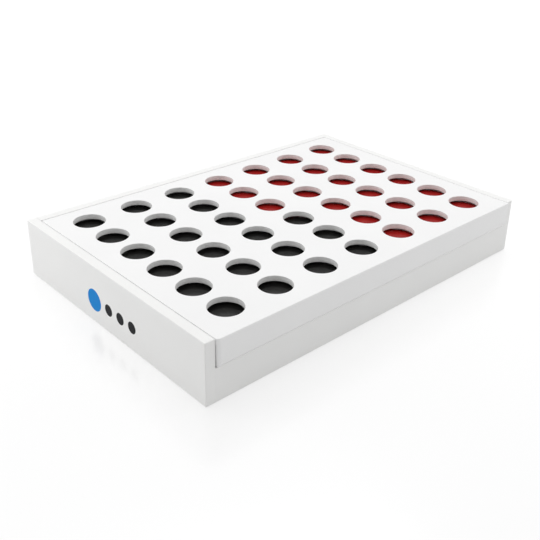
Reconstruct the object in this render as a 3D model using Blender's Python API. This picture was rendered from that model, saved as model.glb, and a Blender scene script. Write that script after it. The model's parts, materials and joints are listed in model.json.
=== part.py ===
"""Table-top four in a row: a thick playing board that lies in its own tray.

The tray is a shallow box of painted MDF whose front wall is cut down to half
height.  The board is a hollow sandwich, two perforated plates with rails and
dividers between them, and each of its columns holds a stack of loose discs.
In storage the board lies flat on two ledges, flush with the tray's rims, and its
closed edge stands a little out of the open front.  For play it stands on its
bottom rail in the ledges' notches.

Units are metres.  The origin is under the middle of the set, +X runs
along the long side, +Y from the cut-down front wall to the back wall, +Z up.
"""

import math

import bmesh
import bpy
from mathutils import Vector

MM = 0.001
GLUE_GAP = 0.3 * MM          # clearance left between neighbouring pieces

# Hole grid: columns run along Y, side by side along X
COLUMNS = 7
ROWS = 6
COLUMN_PITCH = 31.0 * MM
ROW_PITCH = 24.2 * MM
HOLE_RADIUS = 9.0 * MM
HOLE_SIDES = 24

# Playing board, lying flat
BOARD_THICKNESS = 15.2 * MM
BOARD_PROTRUSION = 1.3 * MM  # how far it stands out of the tray's open front
PLATE_THICKNESS = 3.0 * MM
DIVIDER_WIDTH = 6.0 * MM
FRONT_TO_FIRST_ROW = 19.0 * MM
LEFT_CORNER_RADIUS = 2.0 * MM
RIGHT_CORNER_RADIUS = 0.6 * MM
LOWER_FRONT_RADIUS = 2.0 * MM

# Loose discs
DISC_RADIUS = ROW_PITCH / 2 - GLUE_GAP / 2
DISC_THICKNESS = 7.2 * MM
DISC_SIDES = 24

# Tray
TRAY_LENGTH = 238.0 * MM
TRAY_DEPTH = 162.0 * MM
TRAY_HEIGHT = 34.0 * MM
WALL_THICKNESS = 5.5 * MM
PANEL_THICKNESS = 3.0 * MM
LEFT_CLEARANCE = 0.6 * MM    # the board lies against the right end wall
RIGHT_CLEARANCE = 0.3 * MM
BACK_CLEARANCE = 0.45 * MM
LEDGE_WIDTH = 11.0 * MM
STAND_NOTCH_WIDTH = BOARD_THICKNESS + 0.7 * MM
STAND_NOTCH_FLOOR = 6.3 * MM
EDGE_EASE = 0.5 * MM         # sanded edge of every painted piece
FOOT_EASE = 0.8 * MM         # larger rounding along the tray's foot

# Places that follow from the sizes above
TRAY_SIDE = TRAY_LENGTH / 2
BACK_Y = (TRAY_DEPTH + BOARD_PROTRUSION) / 2
FRONT_Y = BACK_Y - TRAY_DEPTH
INNER_SIDE = TRAY_SIDE - WALL_THICKNESS
INNER_FRONT_Y = FRONT_Y + WALL_THICKNESS
INNER_BACK_Y = BACK_Y - WALL_THICKNESS
BOARD_LEFT_X = -INNER_SIDE + LEFT_CLEARANCE
BOARD_RIGHT_X = INNER_SIDE - RIGHT_CLEARANCE
BOARD_FRONT_Y = FRONT_Y - BOARD_PROTRUSION
BOARD_BACK_Y = INNER_BACK_Y - BACK_CLEARANCE
BOARD_BOTTOM_Z = TRAY_HEIGHT - BOARD_THICKNESS
CORE_BOTTOM_Z = BOARD_BOTTOM_Z + PLATE_THICKNESS + GLUE_GAP
CORE_TOP_Z = TRAY_HEIGHT - PLATE_THICKNESS - GLUE_GAP
FIRST_COLUMN_X = -COLUMN_PITCH * (COLUMNS - 1) / 2
FIRST_ROW_Y = BOARD_FRONT_Y + FRONT_TO_FIRST_ROW
BOTTOM_RAIL_BACK_Y = FIRST_ROW_Y - DISC_RADIUS - GLUE_GAP
SIDE_RAIL_INNER_X = -FIRST_COLUMN_X + (COLUMN_PITCH - DIVIDER_WIDTH) / 2

# Discs as they lie after a game: full black columns, one mixed, full red ones
BLACK_COLUMNS = 3
MIXED_COLUMN_BLACK_ROWS = 3

TOP_EDGES = ("-x+z", "+x+z", "-y+z", "+y+z")
REAR_BOTTOM_EDGES = ("-x-z", "+x-z", "+y-z")


def clear_scene():
    """Remove whatever the open file holds."""
    for obj in list(bpy.data.objects):
        bpy.data.objects.remove(obj, do_unlink=True)


def new_collection(name):
    """A collection linked under the scene."""
    collection = bpy.data.collections.new(name)
    bpy.context.scene.collection.children.link(collection)
    return collection


def painted(name, colour, roughness):
    """A lacquer: one Principled BSDF with a colour and a roughness."""
    material = bpy.data.materials.new(name)
    material.use_nodes = True
    shader = material.node_tree.nodes["Principled BSDF"]
    shader.inputs["Base Color"].default_value = (*colour, 1.0)
    shader.inputs["Roughness"].default_value = roughness
    shader.inputs["Metallic"].default_value = 0.0
    return material


def face_name(face):
    """The axis a face looks along most, as a sortable pair such as (2, "+z")."""
    axis = max(range(3), key=lambda index: abs(face.normal[index]))
    sign = "+" if face.normal[axis] > 0 else "-"
    return axis, sign + "xyz"[axis]


def edge_name(edge):
    """The two faces an edge joins, in axis order, such as "-x+z"."""
    names = sorted(face_name(face) for face in edge.link_faces)
    return "".join(name for _, name in names)


def ease_edges(bm, names, radius, segments):
    """Round the edges whose faces carry one of the names."""
    bm.normal_update()
    edges = [edge for edge in bm.edges if edge_name(edge) in names]
    bmesh.ops.bevel(
        bm,
        geom=edges,
        offset=radius,
        offset_type="OFFSET",
        segments=segments,
        profile=0.5,
        affect="EDGES",
        clamp_overlap=True,
    )


def cube_mesh(size):
    """A bmesh box of the given size, centred on its own origin."""
    bm = bmesh.new()
    bmesh.ops.create_cube(bm, size=1.0)
    bmesh.ops.scale(bm, vec=size, verts=bm.verts)
    bm.normal_update()
    return bm


def add_object(name, bm, centre, collection, material=None, parent=None):
    """Turn a bmesh into an object placed at centre, and free the bmesh."""
    mesh = bpy.data.meshes.new(name)
    bm.to_mesh(mesh)
    bm.free()
    if material:
        mesh.materials.append(material)
    obj = bpy.data.objects.new(name, mesh)
    collection.objects.link(obj)
    obj.location = centre
    if parent:
        obj.parent = parent
        obj.location = centre - parent.location
    return obj


def block(name, low, high, eases, collection, material, parent=None):
    """A rectangular piece between two corners; eases lists (names, radius, segments)."""
    low = Vector(low)
    high = Vector(high)
    bm = cube_mesh(high - low)
    for names, radius, segments in eases:
        ease_edges(bm, names, radius, segments)
    return add_object(name, bm, (low + high) / 2, collection, material, parent)


def mark_cutter(obj):
    """Keep a cutting shape out of the model itself."""
    obj.hide_render = True
    obj.display_type = "WIRE"


def cut(obj, cutter):
    """Subtract a cutter from a piece."""
    boolean = obj.modifiers.new("cut", "BOOLEAN")
    boolean.operation = "DIFFERENCE"
    boolean.solver = "EXACT"
    boolean.object = cutter


def add_empty(name, place, collection):
    """A plain marker that carries the pieces parented to it."""
    empty = bpy.data.objects.new(name, None)
    empty.empty_display_size = 0.02
    collection.objects.link(empty)
    empty.location = place
    return empty


def column_x(column):
    """Middle of a column, counted from 0 at the -X end."""
    return FIRST_COLUMN_X + column * COLUMN_PITCH


def row_y(row):
    """Middle of a row, counted from 0 at the board's bottom rail."""
    return FIRST_ROW_Y + row * ROW_PITCH


def build_tray(collection, cutters, material):
    """Bottom panel, four walls and the two notched ledges under the board."""
    block(
        "bottom_panel",
        (-INNER_SIDE + GLUE_GAP, INNER_FRONT_Y + GLUE_GAP, 0.0),
        (INNER_SIDE - GLUE_GAP, INNER_BACK_Y - GLUE_GAP, PANEL_THICKNESS),
        [],
        collection,
        material,
    )
    for name, side in (("left_end_wall", -1), ("right_end_wall", 1)):
        outer = "-x" if side < 0 else "+x"
        inner = "+x" if side < 0 else "-x"
        outer_corners = (outer + "-y", outer + "+y")
        foot = (outer + "-z", "-y-z", "+y-z")
        rim = (outer + "+z", inner + "+z", "-y+z", "+y+z", inner + "-y")
        xs = sorted((side * INNER_SIDE, side * TRAY_SIDE))
        block(
            name,
            (xs[0], FRONT_Y, 0.0),
            (xs[1], BACK_Y, TRAY_HEIGHT),
            [(outer_corners + foot, FOOT_EASE, 2), (rim, EDGE_EASE, 1)],
            collection,
            material,
        )
    between_ends = INNER_SIDE - GLUE_GAP
    block(
        "back_wall",
        (-between_ends, INNER_BACK_Y, 0.0),
        (between_ends, BACK_Y, TRAY_HEIGHT),
        [(("+y-z",), FOOT_EASE, 2), (("+y+z", "-y+z"), EDGE_EASE, 1)],
        collection,
        material,
    )
    block(
        "front_wall",
        (-between_ends, FRONT_Y, 0.0),
        (between_ends, INNER_FRONT_Y, BOARD_BOTTOM_Z - GLUE_GAP),
        [(("-y-z",), FOOT_EASE, 2), (("-y+z", "+y+z"), EDGE_EASE, 1)],
        collection,
        material,
    )
    notch_depth = TRAY_HEIGHT - STAND_NOTCH_FLOOR
    notch = add_object(
        "stand_notch_cutter",
        cube_mesh(Vector((TRAY_LENGTH, STAND_NOTCH_WIDTH, notch_depth))),
        Vector((0.0, 0.0, STAND_NOTCH_FLOOR + notch_depth / 2)),
        cutters,
    )
    mark_cutter(notch)
    for name, side in (("left_support_ledge", -1), ("right_support_ledge", 1)):
        xs = sorted((side * between_ends, side * (between_ends - LEDGE_WIDTH)))
        ledge = block(
            name,
            (xs[0], INNER_FRONT_Y + GLUE_GAP, PANEL_THICKNESS + GLUE_GAP),
            (xs[1], INNER_BACK_Y - GLUE_GAP, BOARD_BOTTOM_Z - GLUE_GAP),
            [],
            collection,
            material,
        )
        cut(ledge, notch)


def add_hole_cutter(cutters):
    """One cylinder for every hole of a plate, long enough to pass both plates."""
    bm = bmesh.new()
    for column in range(COLUMNS):
        for row in range(ROWS):
            made = bmesh.ops.create_cone(
                bm,
                cap_ends=True,
                segments=HOLE_SIDES,
                radius1=HOLE_RADIUS,
                radius2=HOLE_RADIUS,
                depth=2 * BOARD_THICKNESS,
            )
            place = Vector((column_x(column), row_y(row), 0.0))
            bmesh.ops.translate(bm, vec=place, verts=made["verts"])
    middle_z = BOARD_BOTTOM_Z + BOARD_THICKNESS / 2
    cutter = add_object("hole_cutter", bm, Vector((0.0, 0.0, middle_z)), cutters)
    mark_cutter(cutter)
    return cutter


def build_board(collection, cutters, board, material):
    """Two perforated plates, three rails and the dividers between the columns."""
    holes = add_hole_cutter(cutters)
    corners = [
        (("-x-y",), LEFT_CORNER_RADIUS, 3),
        (("+x-y",), RIGHT_CORNER_RADIUS, 2),
    ]
    top_eases = [(TOP_EDGES, EDGE_EASE, 1)]
    bottom_eases = [
        (("-y-z",), LOWER_FRONT_RADIUS, 3),
        (REAR_BOTTOM_EDGES, EDGE_EASE, 1),
    ]
    plates = (
        ("board_front_plate", TRAY_HEIGHT - PLATE_THICKNESS, top_eases),
        ("board_back_plate", BOARD_BOTTOM_Z, bottom_eases),
    )
    for name, low_z, eases in plates:
        plate = block(
            name,
            (BOARD_LEFT_X, BOARD_FRONT_Y, low_z),
            (BOARD_RIGHT_X, BOARD_BACK_Y, low_z + PLATE_THICKNESS),
            corners + eases,
            collection,
            material,
            board,
        )
        cut(plate, holes)
    block(
        "board_bottom_rail",
        (BOARD_LEFT_X, BOARD_FRONT_Y, CORE_BOTTOM_Z),
        (BOARD_RIGHT_X, BOTTOM_RAIL_BACK_Y, CORE_TOP_Z),
        corners,
        collection,
        material,
        board,
    )
    side_rails = (
        ("board_left_rail", BOARD_LEFT_X, -SIDE_RAIL_INNER_X),
        ("board_right_rail", SIDE_RAIL_INNER_X, BOARD_RIGHT_X),
    )
    for name, *xs in side_rails:
        block(
            name,
            (xs[0], BOTTOM_RAIL_BACK_Y + GLUE_GAP, CORE_BOTTOM_Z),
            (xs[1], BOARD_BACK_Y, CORE_TOP_Z),
            [],
            collection,
            material,
            board,
        )
    for column in range(COLUMNS - 1):
        middle = column_x(column) + COLUMN_PITCH / 2
        block(
            f"column_divider_{column + 1}",
            (middle - DIVIDER_WIDTH / 2, BOTTOM_RAIL_BACK_Y + GLUE_GAP, CORE_BOTTOM_Z),
            (middle + DIVIDER_WIDTH / 2, BOARD_BACK_Y, CORE_TOP_Z),
            [(("-x+y", "+x+y"), EDGE_EASE, 1)],
            collection,
            material,
            board,
        )


def disc_mesh(name, material):
    """A flat round playing disc, centred on its own origin."""
    bm = bmesh.new()
    bmesh.ops.create_cone(
        bm,
        cap_ends=True,
        segments=DISC_SIDES,
        radius1=DISC_RADIUS,
        radius2=DISC_RADIUS,
        depth=DISC_THICKNESS,
    )
    mesh = bpy.data.meshes.new(name)
    bm.to_mesh(mesh)
    bm.free()
    mesh.materials.append(material)
    mesh.shade_smooth()
    mesh.set_sharp_from_angle(angle=math.radians(30.0))
    return mesh


def is_black(column, row):
    """Colour of the disc in a hole."""
    if column == BLACK_COLUMNS:
        return row < MIXED_COLUMN_BLACK_ROWS
    return column < BLACK_COLUMNS


def build_discs(collection, board, black, red):
    """One disc behind every hole, resting on the board's back plate."""
    meshes = {
        "black": disc_mesh("black_disc", black),
        "red": disc_mesh("red_disc", red),
    }
    disc_z = CORE_BOTTOM_Z + DISC_THICKNESS / 2
    for column in range(COLUMNS):
        for row in range(ROWS):
            colour = "black" if is_black(column, row) else "red"
            name = f"{colour}_disc_column_{column + 1}_row_{row + 1}"
            disc = bpy.data.objects.new(name, meshes[colour])
            collection.objects.link(disc)
            disc.parent = board
            disc.location = Vector((column_x(column), row_y(row), disc_z)) - board.location


def main():
    """Build the whole set."""
    clear_scene()
    parts = new_collection("four_in_a_row_set")
    cutters = new_collection("cutters")
    tray_lacquer = painted("tray_white_lacquer", (0.88, 0.88, 0.87), 0.38)
    board_lacquer = painted("board_white_lacquer", (0.90, 0.90, 0.90), 0.35)
    black_lacquer = painted("black_disc_lacquer", (0.012, 0.012, 0.012), 0.32)
    red_lacquer = painted("red_disc_lacquer", (0.62, 0.022, 0.020), 0.32)
    board = add_empty("playing_board", Vector((0.0, 0.0, BOARD_BOTTOM_Z)), parts)
    build_tray(parts, cutters, tray_lacquer)
    build_board(parts, cutters, board, board_lacquer)
    build_discs(parts, board, black_lacquer, red_lacquer)


main()
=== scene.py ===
"""Looks of the table-top four in a row: fine shapes, materials, light and camera.

Every piece is rebuilt at the place of its CAD node, with finer edges and hole
rims, and rides on that node's body.  Units are metres, in the row's own frame:
+X along the tray, +Y from the cut-down front wall to the back wall, +Z up.
"""

import json
import math

import bmesh
import bpy
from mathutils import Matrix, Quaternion, Vector


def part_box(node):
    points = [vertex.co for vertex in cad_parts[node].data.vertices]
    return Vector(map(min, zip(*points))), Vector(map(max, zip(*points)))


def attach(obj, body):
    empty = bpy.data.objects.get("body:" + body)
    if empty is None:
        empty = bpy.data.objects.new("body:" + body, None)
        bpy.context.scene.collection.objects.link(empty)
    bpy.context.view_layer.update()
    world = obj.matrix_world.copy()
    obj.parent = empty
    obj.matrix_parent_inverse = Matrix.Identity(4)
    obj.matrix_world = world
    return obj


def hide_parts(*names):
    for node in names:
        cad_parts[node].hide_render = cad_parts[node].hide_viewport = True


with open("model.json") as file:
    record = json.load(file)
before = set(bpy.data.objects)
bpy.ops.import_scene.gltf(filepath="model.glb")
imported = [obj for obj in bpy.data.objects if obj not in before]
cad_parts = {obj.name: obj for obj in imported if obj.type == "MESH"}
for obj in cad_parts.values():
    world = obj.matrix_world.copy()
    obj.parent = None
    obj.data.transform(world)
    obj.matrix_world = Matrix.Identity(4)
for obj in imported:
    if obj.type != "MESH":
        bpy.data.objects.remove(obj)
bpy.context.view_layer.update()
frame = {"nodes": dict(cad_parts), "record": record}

MM = 0.001

# Joints: the CAD leaves 0.3 mm between glued pieces, the lacquered object a hairline
CAD_GAP = 0.30 * MM
HAIRLINE = 0.02 * MM
CLOSE = CAD_GAP - HAIRLINE

# Rounded edges of the tray
EDGE_EASE = 0.5 * MM
SEAM_EASE = 0.3 * MM         # where the front wall meets the board's closed edge
GAP_EASE = 0.15 * MM         # walls' upper edges beside the board
FOOT_EASE = 0.8 * MM
EASE_SEGMENTS = 3

# Rounded edges of the board
LEFT_CORNER_RADIUS = 2.0 * MM
RIGHT_CORNER_RADIUS = 0.6 * MM
BACK_CORNER_RADIUS = 0.9 * MM
LOWER_FRONT_RADIUS = 2.0 * MM
LOWER_FRONT_STEPS = 6
BOARD_EDGE_EASE = 0.35 * MM
HOLE_RIM_EASE = 0.12 * MM
CORNER_POINTS = 9

# Meshes
FILL_SCALE = 1000.0          # Blender's fill merges points closer than 0.03 mm
SHARP_ANGLE = math.radians(50.0)
TOUCH = 0.01 * MM            # points nearer than this are at the same height
NOTCH_SLACK = Vector((0.0, 0.1 * MM, 0.2 * MM))  # from the stated opening to the cut

# Growth of the board's glued layers to the left and right, in closed gaps
LAYER_ENDS = {
    "board_front_plate": (0.8, 0.0),
    "board_bottom_rail": (-0.2, 1.0),
    "board_back_plate": (-1.0, 1.0),
}

# Holes and discs
HOLE_RADIUS = 9.0 * MM
HOLE_POINTS = 72
DISC_EDGE_EASE = 0.7 * MM
DISC_POINTS = 72

# Print on the left end wall: one blue and three dark dots
PRINT_HEIGHT = 13.6 * MM
PRINT_THICKNESS = 0.03 * MM
PRINT_RELIEF = 0.02 * MM     # how far the ink stands out of the lacquer
PRINT_DOTS = (               # distance from the tray's front face, radius, ink
    (92.5 * MM, 6.3 * MM, "blue"),
    (79.0 * MM, 3.3 * MM, "dark"),
    (68.5 * MM, 3.3 * MM, "dark"),
    (58.0 * MM, 3.3 * MM, "dark"),
)

# Colours (deeper and brighter, where clouded)
TRAY_WHITE = (0.900, 0.900, 0.891)
BOARD_WHITE = (0.91, 0.91, 0.91)
CUT_EDGE_WHITES = ((0.80, 0.80, 0.79), (0.95, 0.95, 0.94))
DISC_BLACKS = ((0.007, 0.007, 0.007), (0.012, 0.012, 0.011))
DISC_REDS = ((0.32, 0.010, 0.009), (0.40, 0.016, 0.014))
INK_BLUE = (0.002, 0.22, 0.62)
INK_DARK = (0.008, 0.008, 0.010)
WHITE = (1.0, 1.0, 1.0, 1.0)
CLOUD_SHADE = 0.975          # darkest clouding of the white lacquer
INK_THINNING = 1.12          # thin ink is lighter by this factor and this much
INK_LIFT = 0.004

# Noise runs mostly between these values
NOISE_LOW = 0.3
NOISE_HIGH = 0.7
PATTERN_SPREAD = (3.0, 5.0, 7.0)  # farthest shift of a pattern between objects

# Camera
CAMERA_PLACE = Vector((-0.28882, -0.30545, 0.22390))
CAMERA_TARGET = Vector((0.01250, 0.00995, 0.02358))
CAMERA_ROLL = math.radians(1.548)
CAMERA_LENS = 52.37
CAMERA_SHIFT = (-0.028, -0.102)
CAMERA_SENSOR = 36.0
CAMERA_REACH = (0.01, 50.0)

# Light
WORLD_LIGHT = 0.61
WORLD_SEEN = 1.0
SOFTBOX_TARGET = Vector((0.0, 0.0, 0.0))
SOFTBOXES = (                # name, place, side, power in watts
    ("overhead_softbox", Vector((0.06, 0.14, 1.0)), 0.8, 3.65),
    ("left_softbox", Vector((-0.48, 0.46, 0.21)), 0.35, 1.05),
    ("right_softbox", Vector((0.60, -0.35, 0.28)), 0.4, 0.8),
)

# Floor: its tone and glow as the light meets it, and as the camera sees it
FLOOR_SIZE = 12.0
FLOOR_DROP = 0.1 * MM
FLOOR_ROUGHNESS = 0.2
FLOOR_IOR = 2.0
FLOOR_LIT_TONE = 0.64
FLOOR_LIT_GLOW = 0.10
FLOOR_SEEN_TONE = 0.30
FLOOR_SEEN_GLOW = 0.60


# ---------------------------------------------------------------- materials


def node_material(name):
    """A new material and its node tree, with a Principled BSDF in it."""
    material = bpy.data.materials.new(name)
    material.use_nodes = True
    return material, material.node_tree


def add_node(tree, kind, **values):
    """A node of the tree; values set its properties."""
    node = tree.nodes.new(kind)
    for key, value in values.items():
        setattr(node, key, value)
    return node


def own_coordinates(tree, shuffle=False):
    """Coordinates that move with the object, shifted by object if asked."""
    coordinates = add_node(tree, "ShaderNodeTexCoord")
    if not shuffle:
        return coordinates.outputs["Object"]
    info = add_node(tree, "ShaderNodeObjectInfo")
    spread = add_node(tree, "ShaderNodeVectorMath", operation="SCALE")
    spread.inputs[0].default_value = PATTERN_SPREAD
    tree.links.new(info.outputs["Random"], spread.inputs["Scale"])
    moved = add_node(tree, "ShaderNodeVectorMath", operation="ADD")
    tree.links.new(coordinates.outputs["Object"], moved.inputs[0])
    tree.links.new(spread.outputs["Vector"], moved.inputs[1])
    return moved.outputs["Vector"]


def stretched(tree, vector, scale):
    """The coordinates with each axis scaled."""
    mapping = add_node(tree, "ShaderNodeMapping")
    mapping.inputs["Scale"].default_value = scale
    tree.links.new(vector, mapping.inputs["Vector"])
    return mapping.outputs["Vector"]


def noise(tree, vector, size, detail=3.0):
    """Noise whose grains are about size metres across."""
    node = add_node(tree, "ShaderNodeTexNoise")
    node.inputs["Scale"].default_value = 1.0 / size
    node.inputs["Detail"].default_value = detail
    tree.links.new(vector, node.inputs["Vector"])
    return node.outputs["Fac"]


def spread_value(tree, value, low, high, from_low=NOISE_LOW, from_high=NOISE_HIGH):
    """A value rescaled to run from low to high."""
    node = add_node(tree, "ShaderNodeMapRange")
    node.inputs["From Min"].default_value = from_low
    node.inputs["From Max"].default_value = from_high
    node.inputs["To Min"].default_value = low
    node.inputs["To Max"].default_value = high
    tree.links.new(value, node.inputs["Value"])
    return node.outputs["Result"]


def two_tones(tree, value, first, second):
    """A colour between two, chosen by a value."""
    ramp = add_node(tree, "ShaderNodeValToRGB")
    ramp.color_ramp.elements[0].position = NOISE_LOW
    ramp.color_ramp.elements[0].color = (*first, 1.0)
    ramp.color_ramp.elements[1].position = NOISE_HIGH
    ramp.color_ramp.elements[1].color = (*second, 1.0)
    tree.links.new(value, ramp.inputs["Fac"])
    return ramp.outputs["Color"]


def add_bumps(tree, shader, heights):
    """Chained bumps: heights lists (value, strength, depth in metres)."""
    normal = None
    for value, strength, depth in heights:
        bump = add_node(tree, "ShaderNodeBump")
        bump.inputs["Strength"].default_value = strength
        bump.inputs["Distance"].default_value = depth
        tree.links.new(value, bump.inputs["Height"])
        if normal:
            tree.links.new(normal, bump.inputs["Normal"])
        normal = bump.outputs["Normal"]
    tree.links.new(normal, shader.inputs["Normal"])


def sprayed_lacquer(name, white):
    """White satin lacquer sprayed on MDF faces: faint clouding and orange peel."""
    material, tree = node_material(name)
    shader = tree.nodes["Principled BSDF"]
    vector = own_coordinates(tree)
    clouds = noise(tree, vector, size=38 * MM, detail=4.0)
    peel = noise(tree, vector, size=1.6 * MM, detail=2.0)
    fibre = noise(tree, vector, size=0.35 * MM, detail=3.0)
    shaded = tuple(CLOUD_SHADE * channel for channel in white)
    tree.links.new(two_tones(tree, clouds, shaded, white), shader.inputs["Base Color"])
    roughness = spread_value(tree, clouds, low=0.36, high=0.44)
    tree.links.new(roughness, shader.inputs["Roughness"])
    add_bumps(tree, shader, [(fibre, 0.10, 0.02 * MM), (peel, 0.16, 0.04 * MM)])
    shader.inputs["Specular IOR Level"].default_value = 0.5
    return material


def cut_edge_lacquer(name):
    """The same lacquer on cut MDF: it soaks in, so it is greyer, duller and fibrous."""
    material, tree = node_material(name)
    shader = tree.nodes["Principled BSDF"]
    vector = own_coordinates(tree)
    pressed = stretched(tree, vector, (1.0, 1.0, 3.0))
    layers = noise(tree, pressed, size=2.2 * MM, detail=5.0)
    matted = stretched(tree, vector, (1.0, 1.0, 2.0))
    fibre = noise(tree, matted, size=0.5 * MM, detail=4.0)
    tree.links.new(two_tones(tree, layers, *CUT_EDGE_WHITES), shader.inputs["Base Color"])
    roughness = spread_value(tree, fibre, low=0.55, high=0.75)
    tree.links.new(roughness, shader.inputs["Roughness"])
    add_bumps(tree, shader, [(fibre, 0.35, 0.05 * MM), (layers, 0.25, 0.08 * MM)])
    return material


def disc_lacquer(name, deep, bright):
    """Semi-gloss colour on a turned wooden disc, with the grain just showing."""
    material, tree = node_material(name)
    shader = tree.nodes["Principled BSDF"]
    vector = own_coordinates(tree, shuffle=True)
    along_grain = stretched(tree, vector, (1.0, 0.12, 1.0))
    grain = noise(tree, along_grain, size=0.9 * MM, detail=4.0)
    clouds = noise(tree, vector, size=7 * MM, detail=2.0)
    tree.links.new(two_tones(tree, clouds, deep, bright), shader.inputs["Base Color"])
    roughness = spread_value(tree, grain, low=0.18, high=0.26)
    tree.links.new(roughness, shader.inputs["Roughness"])
    shader.inputs["Specular IOR Level"].default_value = 0.28
    add_bumps(tree, shader, [(grain, 0.06, 0.02 * MM), (clouds, 0.05, 0.04 * MM)])
    return material


def ink(name, colour):
    """Pad-printed ink: nearly even colour with a slightly broken gloss."""
    material, tree = node_material(name)
    shader = tree.nodes["Principled BSDF"]
    vector = own_coordinates(tree)
    speckle = noise(tree, vector, size=0.5 * MM, detail=3.0)
    thin = tuple(INK_THINNING * channel + INK_LIFT for channel in colour)
    tree.links.new(two_tones(tree, speckle, colour, thin), shader.inputs["Base Color"])
    roughness = spread_value(tree, speckle, low=0.50, high=0.65)
    tree.links.new(roughness, shader.inputs["Roughness"])
    shader.inputs["Specular IOR Level"].default_value = 0.12
    add_bumps(tree, shader, [(speckle, 0.08, 0.01 * MM)])
    return material


def studio_floor(name):
    """White table top: bleached to the eye, an ordinary white surface to the light."""
    material, tree = node_material(name)
    shader = tree.nodes["Principled BSDF"]
    shader.inputs["Roughness"].default_value = FLOOR_ROUGHNESS
    shader.inputs["IOR"].default_value = FLOOR_IOR
    shader.inputs["Emission Color"].default_value = WHITE
    seen = add_node(tree, "ShaderNodeLightPath").outputs["Is Camera Ray"]
    tone = spread_value(tree, seen, FLOOR_LIT_TONE, FLOOR_SEEN_TONE, 0.0, 1.0)
    glow = spread_value(tree, seen, FLOOR_LIT_GLOW, FLOOR_SEEN_GLOW, 0.0, 1.0)
    tree.links.new(tone, shader.inputs["Base Color"])
    tree.links.new(glow, shader.inputs["Emission Strength"])
    return material


# ------------------------------------------------------------------- meshes


def finished_mesh(name, bm, materials):
    """A smooth-shaded mesh object whose flat faces stay flat."""
    bmesh.ops.recalc_face_normals(bm, faces=bm.faces)
    mesh = bpy.data.meshes.new(name)
    bm.to_mesh(mesh)
    bm.free()
    for material in materials:
        mesh.materials.append(material)
    mesh.shade_smooth()
    mesh.set_sharp_from_angle(angle=SHARP_ANGLE)
    obj = bpy.data.objects.new(name, mesh)
    bpy.context.scene.collection.objects.link(obj)
    weighted = obj.modifiers.new("flat_faces", "WEIGHTED_NORMAL")
    weighted.keep_sharp = True
    return obj


def take_place(obj, node, body):
    """The piece stands for its CAD node, on that node's body."""
    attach(obj, body)
    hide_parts(node)
    return obj


def face_name(face):
    """The axis a face looks along most, as a sortable pair such as (2, "+z")."""
    axis = max(range(3), key=lambda index: abs(face.normal[index]))
    sign = "+" if face.normal[axis] > 0 else "-"
    return axis, sign + "xyz"[axis]


def edge_name(edge):
    """The two faces an edge joins, in axis order, such as "-x+z"."""
    names = sorted(face_name(face) for face in edge.link_faces)
    return "".join(name for _, name in names)


def ease_edges(bm, names, radius):
    """Round the edges whose faces carry one of the names."""
    bm.normal_update()
    edges = [edge for edge in bm.edges if edge_name(edge) in names]
    bmesh.ops.bevel(
        bm,
        geom=edges,
        offset=radius,
        offset_type="OFFSET",
        segments=EASE_SEGMENTS,
        profile=0.5,
        affect="EDGES",
        clamp_overlap=True,
    )


def node_corners(node, grow_low=(0, 0, 0), grow_high=(0, 0, 0)):
    """The node's box, each side moved out by a number of closed gaps."""
    low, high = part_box(node)
    low = Vector(low) - Vector(grow_low) * CLOSE
    high = Vector(high) + Vector(grow_high) * CLOSE
    return low, high


def block(name, low, high, eases, materials):
    """A board of MDF between two corners; eases lists (edge names, radius)."""
    bm = bmesh.new()
    bmesh.ops.create_cube(bm, size=1.0)
    bmesh.ops.scale(bm, vec=high - low, verts=bm.verts)
    bmesh.ops.translate(bm, vec=(low + high) / 2, verts=bm.verts)
    for names, radius in eases:
        ease_edges(bm, names, radius)
    return finished_mesh(name, bm, materials)


def circle_outline(centre, radius):
    """Outline of a hole; insetting it makes the hole wider."""

    def points(inset):
        wide = radius + inset
        turns = (2 * math.pi * i / HOLE_POINTS for i in range(HOLE_POINTS))
        return [
            (centre.x + wide * math.cos(a), centre.y + wide * math.sin(a)) for a in turns
        ]

    return points


def board_outline(low, high):
    """Outline of the board: its rounding differs from corner to corner."""
    corners = (
        (low.x, low.y, LEFT_CORNER_RADIUS, 180.0),
        (high.x, low.y, RIGHT_CORNER_RADIUS, 270.0),
        (high.x, high.y, BACK_CORNER_RADIUS, 0.0),
        (low.x, high.y, BACK_CORNER_RADIUS, 90.0),
    )

    def points(inset, front_cut=0.0):
        made = []
        for x, y, radius, start in corners:
            centre_x = x + math.copysign(radius, (low.x + high.x) / 2 - x)
            centre_y = y + math.copysign(radius, (low.y + high.y) / 2 - y)
            for i in range(CORNER_POINTS):
                turn = math.radians(start + 90.0 * i / (CORNER_POINTS - 1))
                made_x = centre_x + (radius - inset) * math.cos(turn)
                made_y = centre_y + (radius - inset) * math.sin(turn)
                made.append((made_x, max(made_y, low.y + front_cut)))
        return made

    return points


def lower_front_side(bottom_z, top_z):
    """Levels (height, inset, front cut) of the back plate's edge, rounder in front."""
    levels = []
    for i in range(LOWER_FRONT_STEPS + 1):
        a = i / LOWER_FRONT_STEPS * math.pi / 2
        rise = LOWER_FRONT_RADIUS * (1 - math.cos(a))
        front_cut = LOWER_FRONT_RADIUS * (1 - math.sin(a))
        left = max(0.0, BOARD_EDGE_EASE - rise)
        inset = BOARD_EDGE_EASE - math.sqrt(BOARD_EDGE_EASE**2 - left**2)
        levels.append((bottom_z + rise, inset, front_cut))
    levels.append((top_z, 0.0, 0.0))
    return levels


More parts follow.
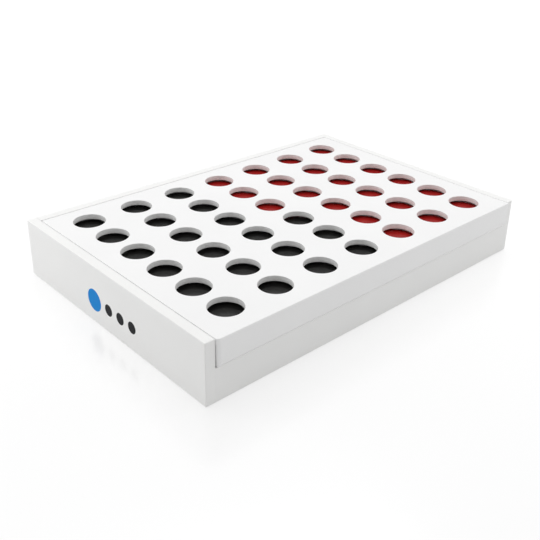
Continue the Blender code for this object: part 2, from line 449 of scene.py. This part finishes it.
def rounded_side(bottom_z, top_z, bottom_ease, top_ease):
    """Levels (height, inset) of a plate's edge, rounded where an ease is given."""
    steps = [i / EASE_SEGMENTS * math.pi / 2 for i in range(EASE_SEGMENTS + 1)]
    levels = []
    if bottom_ease:
        for a in steps:
            rise = bottom_ease * (1 - math.cos(a))
            levels.append((bottom_z + rise, bottom_ease * (1 - math.sin(a))))
    else:
        levels.append((bottom_z, 0.0))
    if top_ease:
        for a in steps:
            rise = top_ease * (1 - math.sin(a))
            levels.append((top_z - rise, top_ease * (1 - math.cos(a))))
        levels.sort()
    else:
        levels.append((top_z, 0.0))
    return levels


def add_wall(bm, outline, levels, material_index):
    """A closed wall of quads through the levels; returns its lowest and highest rims."""
    rings = []
    for height, *insets in levels:
        rings.append([bm.verts.new((x, y, height)) for x, y in outline(*insets)])
    count = len(rings[0])
    for below, above in zip(rings, rings[1:]):
        for i in range(count):
            k = (i + 1) % count
            face = bm.faces.new((below[i], below[k], above[k], above[i]))
            face.material_index = material_index
    rims = []
    for ring in (rings[0], rings[-1]):
        pairs = zip(ring, ring[1:] + ring[:1])
        rims.append([bm.edges.get(pair) for pair in pairs])
    return rims


def add_cap(bm, edges):
    """A flat face inside closed rims; rims inside another rim stay open holes."""
    for scale in (FILL_SCALE, 1 / FILL_SCALE):
        bmesh.ops.scale(bm, vec=(scale, scale, scale), verts=bm.verts)
        if scale > 1:
            bmesh.ops.triangle_fill(bm, use_beauty=True, edges=edges, normal=(0, 0, 1))


def board_corners(node):
    """The layer's box; the three layers' ends aren't quite flush with each other."""
    left, right = LAYER_ENDS[node]
    return node_corners(node, (left, 0, 0), (right, 0, 0))


def perforated_plate(name, node, holes, on_top, materials):
    """A plate with round holes; its outer face has eased rims, its glued face none."""
    low, high = board_corners(node)
    if on_top:
        side = rounded_side(low.z, high.z, 0.0, BOARD_EDGE_EASE)
    else:
        side = lower_front_side(low.z, high.z)
    bm = bmesh.new()
    rims = [add_wall(bm, board_outline(low, high), side, 0)]
    hole_levels = rounded_side(low.z, high.z, HOLE_RIM_EASE, HOLE_RIM_EASE)
    for centre in holes:
        rims.append(add_wall(bm, circle_outline(centre, HOLE_RADIUS), hole_levels, 1))
    for level in (0, 1):
        add_cap(bm, [edge for pair in rims for edge in pair[level]])
    return finished_mesh(name, bm, materials)


def turned_disc(name, centre, radius, thickness, material):
    """A turned disc with rounded edges, centred on its own origin."""
    half = thickness / 2
    ease = DISC_EDGE_EASE
    steps = [i / EASE_SEGMENTS * math.pi / 2 for i in range(EASE_SEGMENTS + 1)]
    profile = [
        (radius - ease + ease * math.sin(a), half - ease + ease * math.cos(a)) for a in steps
    ]
    profile += [(r, -z) for r, z in reversed(profile)]
    bm = bmesh.new()
    rings = []
    for r, z in profile:
        ring = []
        for i in range(DISC_POINTS):
            turn = 2 * math.pi * i / DISC_POINTS
            ring.append(bm.verts.new((r * math.cos(turn), r * math.sin(turn), z)))
        rings.append(ring)
    for above, below in zip(rings, rings[1:]):
        for i in range(DISC_POINTS):
            k = (i + 1) % DISC_POINTS
            bm.faces.new((above[i], below[i], below[k], above[k]))
    bm.faces.new(rings[0])
    bm.faces.new(reversed(rings[-1]))
    obj = finished_mesh(name, bm, [material])
    obj.location = centre
    return obj


# ------------------------------------------------------------------- pieces


def build_tray(face):
    """Bottom panel and walls of the tray."""
    low, high = node_corners("bottom_panel", (1, 1, 0), (1, 1, 0))
    panel = block("tray_bottom_panel", low, high, [], [face])
    take_place(panel, "bottom_panel", "tray")
    for side, outer, inner in (("left", "-x", "+x"), ("right", "+x", "-x")):
        low, high = node_corners(f"{side}_end_wall")
        if side == "left":
            low.x += PRINT_RELIEF
        outer_edges = (outer + "-y", outer + "+y", outer + "+z", "-y+z", "+y+z")
        foot = (outer + "-z", "-y-z", "+y-z")
        wall = block(
            f"tray_{side}_end_wall",
            low,
            high,
            [(foot, FOOT_EASE), (outer_edges, EDGE_EASE), ((inner + "+z",), GAP_EASE)],
            [face],
        )
        take_place(wall, f"{side}_end_wall", "tray")
    low, high = node_corners("back_wall", (1, 0, 0), (1, 0, 0))
    eases = [(("+y-z",), FOOT_EASE), (("+y+z",), EDGE_EASE), (("-y+z",), GAP_EASE)]
    wall = block("tray_back_wall", low, high, eases, [face])
    take_place(wall, "back_wall", "tray")
    low, high = node_corners("front_wall", (1, 0, 0), (1, 0, 0.2))
    eases = [(("-y-z",), FOOT_EASE), (("-y+z", "+y+z"), SEAM_EASE)]
    wall = block("tray_front_wall", low, high, eases, [face])
    take_place(wall, "front_wall", "tray")


def hole_centres():
    """The middle of every disc, which is also that of its hole."""
    centres = []
    for node in frame["nodes"]:
        if "_disc_" in node:
            low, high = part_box(node)
            centres.append((Vector(low) + Vector(high)) / 2)
    return centres


def closed_edge_rail(face):
    """The rail along the board's closed edge, with the plates' own corners."""
    low, high = board_corners("board_bottom_rail")
    low.z -= CLOSE
    high.z += CLOSE
    bm = bmesh.new()
    rims = add_wall(bm, board_outline(low, high), [(low.z, 0.0), (high.z, 0.0)], 0)
    for edges in rims:
        add_cap(bm, edges)
    return finished_mesh("board_closed_edge_rail", bm, [face])


def build_board(face, cut):
    """Perforated plates, rails and dividers of the playing board."""
    holes = hole_centres()
    plates = (("board_front_plate", True), ("board_back_plate", False))
    for node, eased_top in plates:
        plate = perforated_plate(node + "_fine", node, holes, eased_top, [face, cut])
        take_place(plate, node, "board")
    rail = closed_edge_rail(face)
    take_place(rail, "board_bottom_rail", "board")
    inner_nodes = [node for node in frame["nodes"] if node.startswith("column_divider")]
    inner_nodes += ["board_left_rail", "board_right_rail"]
    for node in inner_nodes:
        low, high = node_corners(node, (0, 1, 1), (0, 0, 1))
        strip = block(node + "_strip", low, high, [(("-x+y", "+x+y"), EDGE_EASE)], [face])
        take_place(strip, node, "board")


def build_discs(looks):
    """One turned disc in place of every CAD disc."""
    for node in frame["nodes"]:
        if "_disc_" not in node:
            continue
        low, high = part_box(node)
        low, high = Vector(low), Vector(high)
        colour = node.split("_")[0]
        radius = max(high.x - low.x, high.y - low.y) / 2
        disc = turned_disc(
            node + "_turned", (low + high) / 2, radius, high.z - low.z, looks[colour]
        )
        take_place(disc, node, node)


def build_ledges(face):
    """The two notched ledges: extruded from their side outline."""
    notch_low, notch_high = ledge_notch()
    for side in ("left", "right"):
        node = f"{side}_support_ledge"
        low, high = node_corners(node, (1, 1, 1), (1, 1, 0))
        outline = (
            (low.y, low.z),
            (high.y, low.z),
            (high.y, high.z),
            (notch_high.y, high.z),
            (notch_high.y, notch_low.z),
            (notch_low.y, notch_low.z),
            (notch_low.y, high.z),
            (low.y, high.z),
        )
        bm = bmesh.new()
        base = bm.faces.new([bm.verts.new((low.x, y, z)) for y, z in outline])
        made = bmesh.ops.extrude_face_region(bm, geom=[base])
        moved = [item for item in made["geom"] if isinstance(item, bmesh.types.BMVert)]
        bmesh.ops.translate(bm, vec=(high.x - low.x, 0, 0), verts=moved)
        bmesh.ops.recalc_face_normals(bm, faces=bm.faces)
        upper = [
            edge
            for edge in bm.edges
            if all(abs(vert.co.z - high.z) < TOUCH for vert in edge.verts)
        ]
        bmesh.ops.bevel(
            bm,
            geom=upper,
            offset=EDGE_EASE,
            segments=EASE_SEGMENTS,
            profile=0.5,
            affect="EDGES",
        )
        ledge = finished_mesh(f"tray_{side}_ledge", bm, [face])
        take_place(ledge, node, "tray")


def ledge_notch():
    """The notch's box, read from the opening that the record states."""
    openings = frame["record"]["physics"]["openings"]
    box = next(o["box_m"] for o in openings if o["name"] == "stand_notch_across_tray")
    return Vector(box[0]) - NOTCH_SLACK, Vector(box[1]) + NOTCH_SLACK


def build_print(inks):
    """Printed dots on the left end wall, thin discs of ink that mirrors leave out."""
    low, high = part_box("left_end_wall")
    for number, (from_front, radius, colour) in enumerate(PRINT_DOTS):
        bm = bmesh.new()
        levels = rounded_side(0.0, PRINT_THICKNESS, 0.0, PRINT_THICKNESS / 2)
        outline = circle_outline(Vector((0.0, 0.0, 0.0)), -radius)
        rims = add_wall(bm, outline, levels, 0)
        for edges in rims:
            add_cap(bm, edges)
        dot = finished_mesh(f"printed_dot_{number + 1}", bm, [inks[colour]])
        dot.rotation_euler = (0.0, -math.pi / 2, 0.0)
        dot.location = (low[0] + PRINT_THICKNESS, low[1] + from_front, PRINT_HEIGHT)
        dot.visible_glossy = False
        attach(dot, "tray")


# -------------------------------------------------------------------- studio


def add_floor():
    """A wide white table top under the tray."""
    bm = bmesh.new()
    bmesh.ops.create_grid(bm, x_segments=1, y_segments=1, size=FLOOR_SIZE / 2)
    mesh = bpy.data.meshes.new("studio_floor")
    bm.to_mesh(mesh)
    bm.free()
    mesh.materials.append(studio_floor("white_table_top"))
    floor = bpy.data.objects.new("studio_floor", mesh)
    bpy.context.scene.collection.objects.link(floor)
    floor.location.z = -FLOOR_DROP


def add_softbox(name, place, size, power):
    """A square area light aimed at the object."""
    data = bpy.data.lights.new(name, "AREA")
    data.shape = "SQUARE"
    data.size = size
    data.energy = power
    light = bpy.data.objects.new(name, data)
    bpy.context.scene.collection.objects.link(light)
    light.location = place
    light.rotation_mode = "QUATERNION"
    light.rotation_quaternion = (SOFTBOX_TARGET - place).to_track_quat("-Z", "Y")


def add_world():
    """Even white surroundings, dimmer as light than they look behind the object."""
    scene = bpy.context.scene
    world = bpy.data.worlds.new("studio")
    scene.world = world
    world.use_nodes = True
    tree = world.node_tree
    background = tree.nodes["Background"]
    background.inputs["Color"].default_value = WHITE
    path = add_node(tree, "ShaderNodeLightPath")
    seen = add_node(tree, "ShaderNodeMath", operation="MAXIMUM")
    tree.links.new(path.outputs["Is Camera Ray"], seen.inputs[0])
    tree.links.new(path.outputs["Is Glossy Ray"], seen.inputs[1])
    strength = spread_value(
        tree, seen.outputs["Value"], WORLD_LIGHT, WORLD_SEEN, 0.0, 1.0
    )
    tree.links.new(strength, background.inputs["Strength"])


def add_camera():
    """The camera at the picture's viewing angle."""
    data = bpy.data.cameras.new("camera")
    data.sensor_width = CAMERA_SENSOR
    data.lens = CAMERA_LENS
    data.shift_x, data.shift_y = CAMERA_SHIFT
    data.clip_start, data.clip_end = CAMERA_REACH
    camera = bpy.data.objects.new("camera", data)
    bpy.context.scene.collection.objects.link(camera)
    camera.location = CAMERA_PLACE
    camera.rotation_mode = "QUATERNION"
    aim = (CAMERA_TARGET - CAMERA_PLACE).to_track_quat("-Z", "Y")
    camera.rotation_quaternion = aim @ Quaternion((0.0, 0.0, 1.0), CAMERA_ROLL)
    bpy.context.scene.camera = camera


def set_colour_management():
    """Plain sRGB display, so that whites stay white."""
    view = bpy.context.scene.view_settings
    view.view_transform = "Standard"
    view.look = "None"
    view.exposure = 0.0
    view.gamma = 1.0


def main():
    """Build every piece and the studio round them."""
    tray_face = sprayed_lacquer("tray_sprayed_lacquer", TRAY_WHITE)
    board_face = sprayed_lacquer("board_sprayed_lacquer", BOARD_WHITE)
    board_cut = cut_edge_lacquer("board_cut_edge_lacquer")
    looks = {
        "black": disc_lacquer("disc_black", *DISC_BLACKS),
        "red": disc_lacquer("disc_red", *DISC_REDS),
    }
    inks = {
        "blue": ink("print_blue", INK_BLUE),
        "dark": ink("print_dark", INK_DARK),
    }
    build_tray(tray_face)
    build_ledges(tray_face)
    build_board(board_face, board_cut)
    build_discs(looks)
    build_print(inks)
    add_floor()
    add_world()
    for softbox in SOFTBOXES:
        add_softbox(*softbox)
    add_camera()
    set_colour_management()


main()
